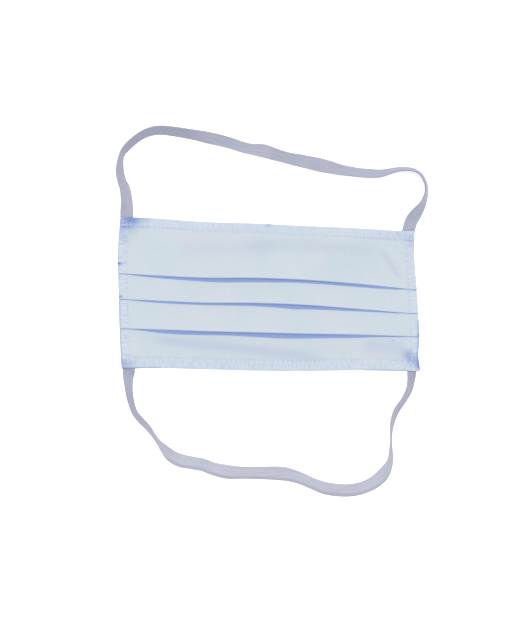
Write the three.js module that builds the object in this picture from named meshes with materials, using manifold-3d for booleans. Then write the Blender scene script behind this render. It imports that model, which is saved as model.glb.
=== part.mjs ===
// A pleated surgical face mask with two elastic head bands, lying face up on a flat surface.
// Millimetres, +Z up. The origin is on the surface, under the middle of the whole mask:
// +X runs to the right along the pleats, +Y towards the nose edge, and the floor is z = 0.
// Every piece is a strip of cloth or elastic: a line drawn across it, given a wall, and carried along it.
import * as THREE from "three";
import Module from "manifold-3d";

// Walls and gaps.
const CLOTH_WALL = 1.0; // the folded nonwoven cloth
const GAP = 0.3; // between two layers, and between two pieces
const PITCH = CLOTH_WALL + GAP; // from the middle of one layer to the middle of the next
const HALF_WALL = CLOTH_WALL / 2;
const TURN_RADIUS = PITCH / 2; // the middle of the cloth, where it turns back over itself

// The face panel.
const LEG_HEIGHT = HALF_WALL; // middle of the hem layer that lies on the surface
const PANEL_HEIGHT = LEG_HEIGHT + PITCH; // middle of the lowest panel layer, over the hems
const TUCK_DEPTH = 8; // how far each knife pleat reaches up behind its fold edge
const TUCK_RISE = 0.8; // how much a panel climbs while it is under a tuck
const DOME_RISE = 1.2; // how much the middle of the mask stands up from the surface
const LEFT_END = -91; // the table below runs from this side edge
const RIGHT_END = 88; // to this one
const PANEL_STATIONS = 18; // steps across the mask
const NODES_PER_STRETCH = 3; // steps along each stretch of cloth between two bends
const TURN_STEPS = 3; // steps round each fold

// Sections down the mask, from left to right. top and bottom are the finished edges, fold1 to fold3
// the lower edges of the three pleats, and gape1 to gape3 how far each stands off the panel under it.
const SECTIONS = [
  { x: -91, top: 56.2, fold1: 22.3, fold2: 6.8, fold3: -10.9, bottom: -34.9, gape1: 0.0, gape2: 0.0, gape3: 0.0 },
  { x: -68, top: 55.4, fold1: 20.9, fold2: 5.7, fold3: -11.6, bottom: -34.7, gape1: 0.3, gape2: 0.2, gape3: 0.5 },
  { x: -40, top: 53.4, fold1: 19.6, fold2: 4.6, fold3: -12.6, bottom: -35.4, gape1: 0.8, gape2: 0.5, gape3: 1.1 },
  { x: -10, top: 52.5, fold1: 19.5, fold2: 4.4, fold3: -13.3, bottom: -36.2, gape1: 1.1, gape2: 0.8, gape3: 1.2 },
  { x: 20, top: 51.0, fold1: 18.4, fold2: 3.3, fold3: -14.1, bottom: -36.4, gape1: 0.9, gape2: 1.0, gape3: 1.2 },
  { x: 50, top: 49.8, fold1: 16.2, fold2: 1.0, fold3: -14.6, bottom: -36.0, gape1: 0.7, gape2: 0.4, gape3: 0.6 },
  { x: 76, top: 48.2, fold1: 13.6, fold2: -1.2, fold3: -15.5, bottom: -36.4, gape1: 0.1, gape2: 0.1, gape3: 0.1 },
  { x: 88, top: 47.8, fold1: 12.4, fold2: -1.9, fold3: -15.8, bottom: -36.5, gape1: 0.0, gape2: 0.0, gape3: 0.0 },
];
const FOLDS = ["1", "2", "3"];

// The finished side edges, from the chin edge up: they bow a little, and the lower right corner flares.
const SIDES = [
  { y: -38, left: -90.1, right: 90.0 },
  { y: -28, left: -90.8, right: 88.5 },
  { y: -16, left: -91.5, right: 89.1 },
  { y: 8, left: -92.1, right: 87.9 },
  { y: 35, left: -92.7, right: 86.1 },
  { y: 58, left: -90.9, right: 86.8 },
];

// Turned hems: how wide each one is, from the finished edge in.
const TOP_HEM = 5.4;
const BOTTOM_HEM = 6.4;
const SIDE_HEM = 5.2;
const LIP_LENGTH = 0.4; // flat part of a hem on the face side, after it has come round the edge
const LIP_END = HALF_WALL + TURN_RADIUS + LIP_LENGTH; // from the finished edge
const PANEL_INSET = LIP_END + GAP; // the panel's own cut edge, inside the hem
const MITRE_GAP = 0.25; // each hem stops this far short of the diagonal at a corner
const HEM_STATIONS = 15;

// Elastic head bands: flat tape. Each row is a place on the middle line, how wide the tape is there and
// how it leans, in degrees: 0 lies flat, 90 stands on edge, and a positive lean lifts its left edge.
const BAND_WALL = 1.0;
const BAND_STEP = 4.5;
const UPPER_BAND = [
  { x: -87.3, y: 47.0, width: 7.7, lean: 0 },
  { x: -87.4, y: 59.0, width: 7.9, lean: 0 },
  { x: -87.3, y: 65.0, width: 7.5, lean: 24 },
  { x: -88.4, y: 73.6, width: 7.5, lean: 41 },
  { x: -90.1, y: 77.8, width: 7.5, lean: 51 },
  { x: -91.4, y: 84.0, width: 7.5, lean: 56 },
  { x: -90.5, y: 93.0, width: 7.5, lean: 71 },
  { x: -87.2, y: 98.3, width: 7.5, lean: 62 },
  { x: -79.1, y: 105.1, width: 7.5, lean: 59 },
  { x: -72.0, y: 108.1, width: 7.5, lean: 53 },
  { x: -64.5, y: 108.6, width: 7.5, lean: 50 },
  { x: -46.0, y: 105.8, width: 7.5, lean: 41 },
  { x: -38.0, y: 104.2, width: 7.5, lean: 27 },
  { x: -26.3, y: 101.4, width: 7.5, lean: 32 },
  { x: -16.6, y: 98.3, width: 7.5, lean: 37 },
  { x: -11.5, y: 97.2, width: 7.5, lean: 34 },
  { x: -4.4, y: 96.3, width: 8.1, lean: 0 },
  { x: -0.3, y: 95.0, width: 7.8, lean: 8 },
  { x: 4.1, y: 93.6, width: 7.5, lean: 26 },
  { x: 10.2, y: 91.9, width: 7.5, lean: 30 },
  { x: 20.0, y: 89.9, width: 7.8, lean: 4 },
  { x: 28.0, y: 88.1, width: 8.3, lean: 0 },
  { x: 35.0, y: 86.5, width: 7.9, lean: -16 },
  { x: 41.0, y: 85.0, width: 7.6, lean: -32 },
  { x: 51.0, y: 83.4, width: 7.5, lean: -44 },
  { x: 60.0, y: 82.6, width: 7.5, lean: -46 },
  { x: 66.0, y: 82.7, width: 7.5, lean: -53 },
  { x: 71.6, y: 84.0, width: 7.5, lean: -65 },
  { x: 78.0, y: 85.2, width: 7.5, lean: -71 },
  { x: 86.0, y: 84.6, width: 7.5, lean: -75 },
  { x: 90.6, y: 81.4, width: 7.5, lean: -77 },
  { x: 93.3, y: 75.0, width: 7.5, lean: -77 },
  { x: 93.0, y: 69.4, width: 7.5, lean: -72 },
  { x: 91.0, y: 63.8, width: 7.5, lean: -58 },
  { x: 87.4, y: 58.6, width: 7.6, lean: -30 },
  { x: 84.0, y: 53.0, width: 7.7, lean: 0 },
  { x: 81.2, y: 40.0, width: 7.7, lean: 0 },
];
const LOWER_BAND = [
  { x: -86.4, y: -26.0, width: 7.7, lean: 0 },
  { x: -86.2, y: -36.8, width: 7.4, lean: 0 },
  { x: -86.4, y: -39.6, width: 7.3, lean: 28 },
  { x: -86.3, y: -44.0, width: 7.5, lean: 47 },
  { x: -85.4, y: -52.0, width: 7.5, lean: 58 },
  { x: -82.6, y: -61.3, width: 7.5, lean: 63 },
  { x: -78.9, y: -66.0, width: 7.5, lean: 60 },
  { x: -74.5, y: -70.6, width: 7.5, lean: 64 },
  { x: -69.4, y: -77.6, width: 7.5, lean: 71 },
  { x: -65.0, y: -83.0, width: 7.5, lean: 50 },
  { x: -60.2, y: -88.0, width: 7.8, lean: 12 },
  { x: -55.0, y: -90.6, width: 8.4, lean: 0 },
  { x: -48.0, y: -92.0, width: 8.0, lean: 0 },
  { x: -41.0, y: -93.4, width: 8.0, lean: 0 },
  { x: -35.0, y: -95.7, width: 8.2, lean: 0 },
  { x: -26.5, y: -97.5, width: 8.8, lean: 0 },
  { x: -18.0, y: -98.0, width: 7.7, lean: 0 },
  { x: -8.0, y: -98.1, width: 7.8, lean: 0 },
  { x: 7.0, y: -98.6, width: 8.6, lean: 0 },
  { x: 16.0, y: -100.8, width: 7.6, lean: 0 },
  { x: 25.0, y: -104.6, width: 7.2, lean: 0 },
  { x: 34.0, y: -107.7, width: 7.9, lean: 0 },
  { x: 47.0, y: -108.6, width: 7.9, lean: 0 },
  { x: 57.0, y: -106.3, width: 7.8, lean: 0 },
  { x: 65.4, y: -101.0, width: 7.7, lean: -8 },
  { x: 70.7, y: -92.7, width: 7.5, lean: -60 },
  { x: 71.9, y: -86.5, width: 7.5, lean: -77 },
  { x: 71.9, y: -79.0, width: 7.5, lean: -88 },
  { x: 72.1, y: -73.0, width: 7.5, lean: -86 },
  { x: 72.5, y: -68.7, width: 7.5, lean: -80 },
  { x: 74.9, y: -61.0, width: 7.5, lean: -72 },
  { x: 79.8, y: -53.6, width: 7.5, lean: -71 },
  { x: 82.8, y: -48.0, width: 7.5, lean: -67 },
  { x: 83.9, y: -43.6, width: 7.2, lean: -61 },
  { x: 84.4, y: -40.2, width: 5.9, lean: -42 },
  { x: 84.7, y: -36.8, width: 5.4, lean: 0 },
  { x: 84.7, y: -26.0, width: 6.0, lean: 0 },
];
const NOTCH_PAST_EDGE = 5; // how far outside the cloth a hem's notch for a band end runs

const CLOTH_COLOUR = "#d0dae3";
const HEM_COLOUR = "#ccd8ec";
const BAND_COLOUR = "#b7b8cf";
const CLOTH_ROUGHNESS = 0.85;
const BAND_ROUGHNESS = 0.7;

const wasm = await Module();
wasm.setup();

const lerp = THREE.MathUtils.lerp;

// The value of one column of a table at a place, on a smooth curve through its rows. Where two rows
// next to each other hold the same value, the curve is level all the way between them.
function read(rows, key, column, at) {
  const last = rows.length - 1;
  const slope = (i) => {
    const [a, b] = [rows[Math.max(i - 1, 0)], rows[Math.min(i + 1, last)]];
    const level = a[column] === rows[i][column] || b[column] === rows[i][column];
    return level && i > 0 && i < last ? 0 : (b[column] - a[column]) / (b[key] - a[key]);
  };
  let i = 0;
  while (i < last - 1 && at > rows[i + 1][key]) i++;
  const span = rows[i + 1][key] - rows[i][key];
  const t = THREE.MathUtils.clamp((at - rows[i][key]) / span, 0, 1);
  const [t2, t3] = [t * t, t * t * t];
  return (
    (2 * t3 - 3 * t2 + 1) * rows[i][column] +
    (t3 - 2 * t2 + t) * span * slope(i) +
    (3 * t2 - 2 * t3) * rows[i + 1][column] +
    (t3 - t2) * span * slope(i + 1)
  );
}

// A line moved sideways by a distance: to its left as it runs, with its corners kept sharp.
function offsetLine(line, distance) {
  const normals = line.slice(1).map((b, i) => {
    const run = new THREE.Vector2().subVectors(b, line[i]).normalize();
    return new THREE.Vector2(-run.y, run.x);
  });
  return line.map((point, i) => {
    const before = normals[Math.max(i - 1, 0)];
    const after = normals[Math.min(i, normals.length - 1)];
    const mitre = new THREE.Vector2().addVectors(before, after);
    return point.clone().addScaledVector(mitre, (2 * distance) / mitre.lengthSq());
  });
}

// A closed solid between two sheets of points of the same size: rows along the piece, columns across it.
function solidBetween(upper, lower) {
  const rows = upper.length;
  const columns = upper[0].length;
  const positions = [...upper.flat(), ...lower.flat()].flatMap((p) => p.toArray());
  const top = (i, j) => i * columns + j;
  const under = (i, j) => (rows + i) * columns + j;
  const index = [];
  const quad = (a, b, c, d) => index.push(a, b, c, a, c, d);
  for (let i = 0; i + 1 < rows; i++)
    for (let j = 0; j + 1 < columns; j++) {
      quad(top(i, j), top(i + 1, j), top(i + 1, j + 1), top(i, j + 1));
      quad(under(i, j), under(i, j + 1), under(i + 1, j + 1), under(i + 1, j));
    }
  for (let i = 0; i + 1 < rows; i++) {
    quad(top(i, 0), under(i, 0), under(i + 1, 0), top(i + 1, 0));
    quad(top(i, columns - 1), top(i + 1, columns - 1), under(i + 1, columns - 1), under(i, columns - 1));
  }
  for (let j = 0; j + 1 < columns; j++) {
    quad(top(0, j), top(0, j + 1), under(0, j + 1), under(0, j));
    quad(top(rows - 1, j), under(rows - 1, j), under(rows - 1, j + 1), top(rows - 1, j + 1));
  }
  const geometry = new THREE.BufferGeometry();
  geometry.setAttribute("position", new THREE.Float32BufferAttribute(positions, 3));
  return geometry.setIndex(signedVolume(positions, index) < 0 ? index.reverse() : index);
}

// The volume inside a closed mesh, negative where its faces point inwards.
function signedVolume(positions, index) {
  const corner = (i) => new THREE.Vector3().fromArray(positions, 3 * index[i]);
  let volume = 0;
  for (let i = 0; i < index.length; i += 3)
    volume += corner(i).dot(corner(i + 1).cross(corner(i + 2))) / 6;
  return volume;
}

// A strip of cloth: lineAt(s) is the line across it at the share s of its length, and placeAt(s, point)
// puts a point of that line in space.
function clothStrip(stations, lineAt, placeAt) {
  const sheet = (distance) =>
    Array.from({ length: stations + 1 }, (_, i) => {
      const s = i / stations;
      return offsetLine(lineAt(s), distance).map((point) => placeAt(s, point));
    });
  return solidBetween(sheet(HALF_WALL), sheet(-HALF_WALL));
}

// Points round a turn of the cloth, from one angle to another in degrees.
function turn(centreX, centreY, from, to, steps) {
  return Array.from({ length: steps + 1 }, (_, i) => {
    const angle = THREE.MathUtils.degToRad(lerp(from, to, i / steps));
    return new THREE.Vector2(
      centreX + TURN_RADIUS * Math.cos(angle),
      centreY + TURN_RADIUS * Math.sin(angle),
    );
  });
}

// Points between the rows of a short table of bends, without its two ends.
function stretch(bends) {
  const ordered = [...bends].sort((a, b) => a.y - b.y);
  const points = [];
  for (let i = 0; i + 1 < bends.length; i++)
    for (let j = i === 0 ? 1 : 0; j < NODES_PER_STRETCH; j++) {
      const y = lerp(bends[i].y, bends[i + 1].y, j / NODES_PER_STRETCH);
      points.push(new THREE.Vector2(y, read(ordered, "y", "z", y)));
    }
  return points;
}

// The line of the pleated cloth down the mask at x, as (y, z) points from the top edge to the bottom one.
function pleatedLine(x) {
  const at = (column) => read(SECTIONS, "x", column, x);
  const line = [new THREE.Vector2(at("top") - PANEL_INSET, PANEL_HEIGHT)];
  let panel = [{ y: line[0].x, z: PANEL_HEIGHT }];
  for (const fold of FOLDS) {
    const edge = at("fold" + fold) + HALF_WALL + TURN_RADIUS;
    const tuck = at("fold" + fold) + TUCK_DEPTH - HALF_WALL - TURN_RADIUS;
    const lift = TUCK_RISE + at("gape" + fold);
    panel.push({ y: tuck + TURN_RADIUS, z: PANEL_HEIGHT + 2 * PITCH });
    panel.push({ y: edge, z: PANEL_HEIGHT + 2 * PITCH + lift });
    line.push(...stretch(panel));
    line.push(...turn(edge, PANEL_HEIGHT + 1.5 * PITCH + lift, 90, 270, TURN_STEPS));
    line.push(...turn(tuck, PANEL_HEIGHT + 0.5 * PITCH, 90, -90, TURN_STEPS));
    panel = [
      { y: tuck, z: PANEL_HEIGHT },
      { y: at("fold" + fold), z: PANEL_HEIGHT + TUCK_RISE },
    ];
  }
  panel.push({ y: at("bottom") + PANEL_INSET, z: PANEL_HEIGHT });
  line.push(...stretch(panel));
  line.push(new THREE.Vector2(at("bottom") + PANEL_INSET, PANEL_HEIGHT));
  return line;
}

// How much the mask stands up at a place: most in the middle and nothing at the edges.
function dome(x, y) {
  const [left, right] = [read(SIDES, "y", "left", y), read(SIDES, "y", "right", y)];
  const [bottom, top] = [read(SECTIONS, "x", "bottom", x), read(SECTIONS, "x", "top", x)];
  const across = (2 * (x - left)) / (right - left) - 1;
  const down = (2 * (y - bottom)) / (top - bottom) - 1;
  return DOME_RISE * Math.max(1 - across ** 2, 0) * Math.max(1 - down ** 2, 0);
}

function facePanel() {
  const station = (s) => lerp(LEFT_END, RIGHT_END, s);
  const place = (s, point) => {
    const y = point.x;
    const left = read(SIDES, "y", "left", y) + PANEL_INSET;
    const right = read(SIDES, "y", "right", y) - PANEL_INSET;
    const x = lerp(left, right, s);
    return new THREE.Vector3(x, y, point.y + dome(x, y));
  };
  return clothStrip(PANEL_STATIONS, (s) => pleatedLine(station(s)), place);
}

// The line across a turned hem, as (inset from the finished edge, z): from the panel's own edge out over
// the face, down round the finished edge and back in along the surface.
function hemLine(width, lipHeight) {
  const corner = HALF_WALL + TURN_RADIUS;
  return [
    new THREE.Vector2(LIP_END, lipHeight),
    ...turn(corner, lipHeight - TURN_RADIUS, 90, 150, 2),
    ...turn(corner, LEG_HEIGHT + TURN_RADIUS, 180, 270, 3),
    new THREE.Vector2(width, LEG_HEIGHT),
  ];
}

// The hem of the top or the bottom edge. side is 1 for the top edge and -1 for the bottom one.
function longHem(edge, width, side) {
  const mitre = SIDE_HEM / width;
  const place = (s, point) => {
    const y = read(SECTIONS, "x", edge, lerp(LEFT_END, RIGHT_END, s)) - side * point.x;
    const short = point.x * mitre + MITRE_GAP;
    const left = read(SIDES, "y", "left", y) + short;
    const right = read(SIDES, "y", "right", y) - short;
    return new THREE.Vector3(lerp(left, right, s), y, point.y);
  };
  return clothStrip(HEM_STATIONS, () => hemLine(width, PANEL_HEIGHT), place);
}

// How high the outermost layer of the panel is at a side edge, where the pleats are sewn flat.
function stackHeight(x, y) {
  const at = (column) => read(SECTIONS, "x", column, x);
  const bends = [{ y: at("top"), z: PANEL_HEIGHT }];
  for (const fold of FOLDS) {
    bends.unshift({ y: at("fold" + fold) + TUCK_DEPTH, z: PANEL_HEIGHT + 2 * PITCH });
    bends.unshift({ y: at("fold" + fold), z: PANEL_HEIGHT + 2 * PITCH });
    bends.unshift({ y: at("fold" + fold) - PITCH, z: PANEL_HEIGHT + TUCK_RISE });
  }
  bends.unshift({ y: at("bottom"), z: PANEL_HEIGHT });
  const i = bends.findIndex((bend) => bend.y >= y);
  if (i <= 0) return PANEL_HEIGHT;
  const share = (y - bends[i - 1].y) / (bends[i].y - bends[i - 1].y);
  return lerp(bends[i - 1].z, bends[i].z, share);
}

// The hem of the left or the right edge. side is 1 for the left edge and -1 for the right one.
function sideHem(edge, x, side) {
  const top = read(SECTIONS, "x", "top", x);
  const bottom = read(SECTIONS, "x", "bottom", x);
  const place = (s, point) => {
    const low = bottom + (point.x * BOTTOM_HEM) / SIDE_HEM + MITRE_GAP;
    const high = top - (point.x * TOP_HEM) / SIDE_HEM - MITRE_GAP;
    const y = lerp(low, high, s);
    return new THREE.Vector3(read(SIDES, "y", edge, y) + side * point.x, y, point.y);
  };
  const line = (s) => hemLine(SIDE_HEM, stackHeight(x, lerp(bottom, top, s)));
  return clothStrip(2 * HEM_STATIONS, line, place);
}

// The rows of a band with one more column: how far along the band each one is.
function measured(rows) {
  let run = 0;
  return rows.map((row, i) => {
    if (i > 0) run += Math.hypot(row.x - rows[i - 1].x, row.y - rows[i - 1].y);
    return { ...row, run };
  });
}

// How far along a band its sections are: one at each row, and evenly spaced ones between them.
function sectionRuns(rows) {
  const between = rows.slice(1).map((row, i) => {
    const span = row.run - rows[i].run;
    const steps = Math.max(Math.round(span / BAND_STEP), 1);
    return Array.from({ length: steps }, (_, j) => rows[i].run + (span * (j + 1)) / steps);
  });
  return [0, ...between.flat()];
}

function headBand(route) {
  const rows = measured(route);
  const length = rows.at(-1).run;
  const sheet = (height) =>
    sectionRuns(rows).map((run) => {
      const at = (column, where) => read(rows, "run", column, where);
      const ahead = Math.min(run + BAND_WALL, length);
      const behind = Math.max(run - BAND_WALL, 0);
      const along = new THREE.Vector2(
        at("x", ahead) - at("x", behind),
        at("y", ahead) - at("y", behind),
      ).normalize();
      const lean = THREE.MathUtils.degToRad(at("lean", run));
      const left = new THREE.Vector3(-along.y, along.x, 0);
      const up = new THREE.Vector3(0, 0, 1);
      const across = left.clone().multiplyScalar(Math.cos(lean)).addScaledVector(up, Math.sin(lean));
      const through = left.clone().multiplyScalar(-Math.sin(lean)).addScaledVector(up, Math.cos(lean));
      const width = at("width", run);
      const stands = (width * Math.abs(Math.sin(lean)) + BAND_WALL * Math.cos(lean)) / 2;
      const middle = new THREE.Vector3(at("x", run), at("y", run), stands);
      return [width / 2, -width / 2].map((reach) =>
        middle.clone().addScaledVector(across, reach).addScaledVector(through, height),
      );
    });
  return solidBetween(sheet(BAND_WALL / 2), sheet(-BAND_WALL / 2));
}

// The space that the sewn end of a band takes out of the hems: end is its last row, next the one before.
function bandNotch(end, next) {
  const along = new THREE.Vector2(next.x - end.x, next.y - end.y);
  const length = along.length() + GAP + NOTCH_PAST_EDGE;
  const height = BAND_WALL + 2 * GAP;
  const notch = new THREE.BoxGeometry(length, Math.max(end.width, next.width) + 2 * GAP, height);
  notch.translate(length / 2 - GAP, 0, BAND_WALL + GAP - height / 2);
  notch.rotateZ(along.angle());
  return notch.translate(end.x, end.y, 0);
}

// A geometry as a solid that can be cut, and back.
function toSolid(geometry) {
  const position = geometry.getAttribute("position");
  const seen = new Map();
  const vertices = [];
  const merged = Array.from({ length: position.count }, (_, i) => {
    const point = new THREE.Vector3().fromBufferAttribute(position, i);
    const key = point.toArray().map((v) => v.toFixed(4)).join();
    if (!seen.has(key)) {
      seen.set(key, vertices.length / 3);
      vertices.push(...point.toArray());
    }
    return seen.get(key);
  });
  return new wasm.Manifold(
    new wasm.Mesh({
      numProp: 3,
      vertProperties: new Float32Array(vertices),
      triVerts: new Uint32Array([...geometry.index.array].map((i) => merged[i])),
    }),
  );
}

function toGeometry(solid) {
  const mesh = solid.getMesh();
  const geometry = new THREE.BufferGeometry();
  geometry.setAttribute("position", new THREE.BufferAttribute(mesh.vertProperties, 3));
  return geometry.setIndex(new THREE.BufferAttribute(mesh.triVerts, 1));
}

// A hem with room cut in it for the band ends.
function notched(hem) {
  const ends = [UPPER_BAND, LOWER_BAND].flatMap((band) => [
    bandNotch(band[0], band[1]),
    bandNotch(band.at(-1), band.at(-2)),
  ]);
  return toGeometry(ends.reduce((solid, notch) => solid.subtract(toSolid(notch)), toSolid(hem)));
}

function piece(name, geometry, colour, roughness) {
  const shaded = geometry.toNonIndexed();
  shaded.computeVertexNormals();
  const material = new THREE.MeshStandardMaterial({ color: colour, roughness, metalness: 0 });
  const mesh = new THREE.Mesh(shaded, material);
  mesh.name = name;
  return mesh;
}

const mask = new THREE.Group();
mask.add(
  piece("face_panel", facePanel(), CLOTH_COLOUR, CLOTH_ROUGHNESS),
  piece("top_hem", notched(longHem("top", TOP_HEM, 1)), HEM_COLOUR, CLOTH_ROUGHNESS),
  piece("bottom_hem", notched(longHem("bottom", BOTTOM_HEM, -1)), HEM_COLOUR, CLOTH_ROUGHNESS),
  piece("left_side_hem", notched(sideHem("left", LEFT_END, 1)), HEM_COLOUR, CLOTH_ROUGHNESS),
  piece("right_side_hem", notched(sideHem("right", RIGHT_END, -1)), HEM_COLOUR, CLOTH_ROUGHNESS),
  piece("upper_head_band", headBand(UPPER_BAND), BAND_COLOUR, BAND_ROUGHNESS),
  piece("lower_head_band", headBand(LOWER_BAND), BAND_COLOUR, BAND_ROUGHNESS),
);
export default mask;
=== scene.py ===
"""How a pleated surgical face mask with two elastic head bands looks, lying face up on a pale floor.

+X runs to the right along the pleats, +Y towards the nose edge and +Z up; the floor is z = 0.
Every piece is in metres, in the frame of the packed part, and each operator below makes one kind of piece.
"""

import functools
import math

import bpy
import numpy as np
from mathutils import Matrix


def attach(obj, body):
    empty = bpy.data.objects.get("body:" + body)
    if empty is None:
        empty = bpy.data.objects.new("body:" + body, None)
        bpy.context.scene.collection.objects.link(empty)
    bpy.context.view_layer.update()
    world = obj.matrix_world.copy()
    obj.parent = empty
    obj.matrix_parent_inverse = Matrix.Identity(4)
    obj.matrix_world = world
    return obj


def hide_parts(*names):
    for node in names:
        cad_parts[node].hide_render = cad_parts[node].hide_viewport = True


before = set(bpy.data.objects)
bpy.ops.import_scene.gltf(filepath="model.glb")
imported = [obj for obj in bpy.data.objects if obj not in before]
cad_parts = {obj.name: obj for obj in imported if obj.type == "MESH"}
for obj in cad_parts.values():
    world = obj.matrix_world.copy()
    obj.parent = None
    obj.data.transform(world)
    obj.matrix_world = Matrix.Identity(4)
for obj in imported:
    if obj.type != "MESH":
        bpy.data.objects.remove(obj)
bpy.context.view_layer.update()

bl_info = {
    "name": "Pleated Face Mask",
    "version": (1, 0, 0),
    "blender": (4, 5, 0),
    "location": "View3D > Sidebar > Face Mask",
    "description": "Builds a pleated surgical face mask with turned hems and elastic head bands",
    "category": "Object",
}

MM = 0.001
BODY = "root"


# ---------------------------------------------------------------- short tables


def table(lengths, plain, *rows, **same):
    """A short table as {column: values}: first its columns of lengths, given in mm, then plain ones, and
    then those that hold the same value in every row."""
    scales = [MM] * len(lengths.split()) + [1.0] * len(plain.split())
    names = (lengths + " " + plain).split()
    made = {name: np.array(column, float) * scale for name, column, scale in zip(names, zip(*rows), scales)}
    return made | {name: np.full(len(rows), float(value)) for name, value in same.items()}


# Sections down the mask, from left to right: the finished edges, the lower edge of each pleat, and how
# far each pleat stands off the panel under it.
SECTIONS = table(
    "x top fold1 fold2 fold3 bottom gape1 gape2 gape3", "",
    (-91, 56.2, 22.3, 6.8, -10.9, -34.9, 0, 0, 0),
    (-68, 55.4, 20.9, 5.7, -11.6, -34.7, 0.3, 0.2, 0.5),
    (-40, 53.4, 19.6, 4.6, -12.6, -35.4, 0.8, 0.5, 1.1),
    (-10, 52.5, 19.5, 4.4, -13.3, -36.2, 1.1, 0.8, 1.2),
    (20, 51, 18.4, 3.3, -14.1, -36.4, 0.9, 1, 1.2),
    (50, 49.8, 16.2, 1, -14.6, -36, 0.7, 0.4, 0.6),
    (76, 48.2, 13.6, -1.2, -15.5, -36.4, 0.1, 0.1, 0.1),
    (88, 47.8, 12.4, -1.9, -15.8, -36.5, 0, 0, 0),
)
# How far each pleat's shade reaches over the panel under it.
SHADES = table(
    "x shade1 shade2 shade3", "",
    (-91, 0.05, 0.05, 0.05),
    (-84, 0.3, 0.2, 0.3),
    (-76, 0.95, 0.75, 1.1),
    (-62, 1.55, 1.2, 2.3),
    (-46, 1.95, 1.3, 2.4),
    (-28, 2.65, 1.5, 2.15),
    (-8, 2.5, 1.85, 2.8),
    (2, 2.3, 2.3, 3.1),
    (14, 1.9, 2.9, 3.05),
    (26, 1.85, 2.4, 2.55),
    (50, 1.85, 1.45, 1.95),
    (64, 1.6, 0.8, 1),
    (76, 0.95, 0.3, 0.45),
    (82, 0.25, 0.1, 0.15),
    (88, 0.05, 0.05, 0.05),
)
# The finished side edges, from the chin edge up.
SIDES = table(
    "y left right", "",
    (-38, -90.1, 90),
    (-28, -90.8, 88.5),
    (-16, -91.5, 89.1),
    (8, -92.1, 87.9),
    (35, -92.7, 86.1),
    (58, -90.9, 86.8),
)
FOLDS = ("1", "2", "3")
LEFT_END, RIGHT_END = SECTIONS["x"][0], SECTIONS["x"][-1]

# Head bands, from their left ends to their right ones: a place on the middle line, how wide the tape is,
# how much of its right side turns down as a lip, how it leans in degrees (0 flat, 90 on edge, more than
# 0 with its left edge up), how many degrees the lip turns down, and how much painted shade the tape's tone
# carries, deeper where it leans away from the light or stands on edge.
UPPER_BAND = table(
    "x y width", "lean tone",
    (-87.3, 47, 7.7, 0, 0.4),
    (-87.4, 59, 7.9, 0, 0.36),
    (-87.3, 65, 7.5, 24, 0.35),
    (-88.4, 73.6, 7.5, 41, 0.37),
    (-90.1, 77.8, 7.5, 51, 0.42),
    (-91.4, 84, 7.5, 56, 0.46),
    (-90.5, 93, 7.5, 71, 0.52),
    (-87.2, 98.3, 7.5, 62, 0.58),
    (-79.1, 105.1, 7.5, 59, 0.62),
    (-72, 108.1, 7.5, 53, 0.62),
    (-64.5, 108.6, 7.5, 50, 0.62),
    (-46, 105.8, 7.5, 41, 0.52),
    (-38, 104.2, 7.5, 27, 0.42),
    (-26.3, 101.4, 7.5, 32, 0.34),
    (-16.6, 98.3, 7.5, 37, 0.24),
    (-11.5, 97.2, 7.5, 34, 0.22),
    (-4.4, 96.3, 8.1, 0, 0.28),
    (-0.3, 95, 7.8, 8, 0.32),
    (4.1, 93.6, 7.5, 26, 0.38),
    (10.2, 91.9, 7.5, 30, 0.34),
    (20, 89.9, 7.8, 4, 0.32),
    (28, 88.1, 8.3, 0, 0.36),
    (35, 86.5, 7.9, -16, 0.36),
    (41, 85, 7.6, -32, 0.38),
    (51, 83.4, 7.5, -44, 0.4),
    (60, 82.6, 7.5, -46, 0.42),
    (66, 82.7, 7.5, -53, 0.45),
    (71.6, 84, 7.5, -65, 0.5),
    (78, 85.2, 7.5, -71, 0.55),
    (86, 84.6, 7.5, -75, 0.6),
    (90.6, 81.4, 7.5, -77, 0.6),
    (93.3, 75, 7.5, -77, 0.6),
    (93, 69.4, 7.5, -72, 0.5),
    (91, 63.8, 7.5, -58, 0.44),
    (87.4, 58.6, 7.6, -30, 0.4),
    (84, 53, 7.7, 0, 0.4),
    (81.2, 40, 7.7, 0, 0.4),
    lip=0, curl=0,
)
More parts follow.
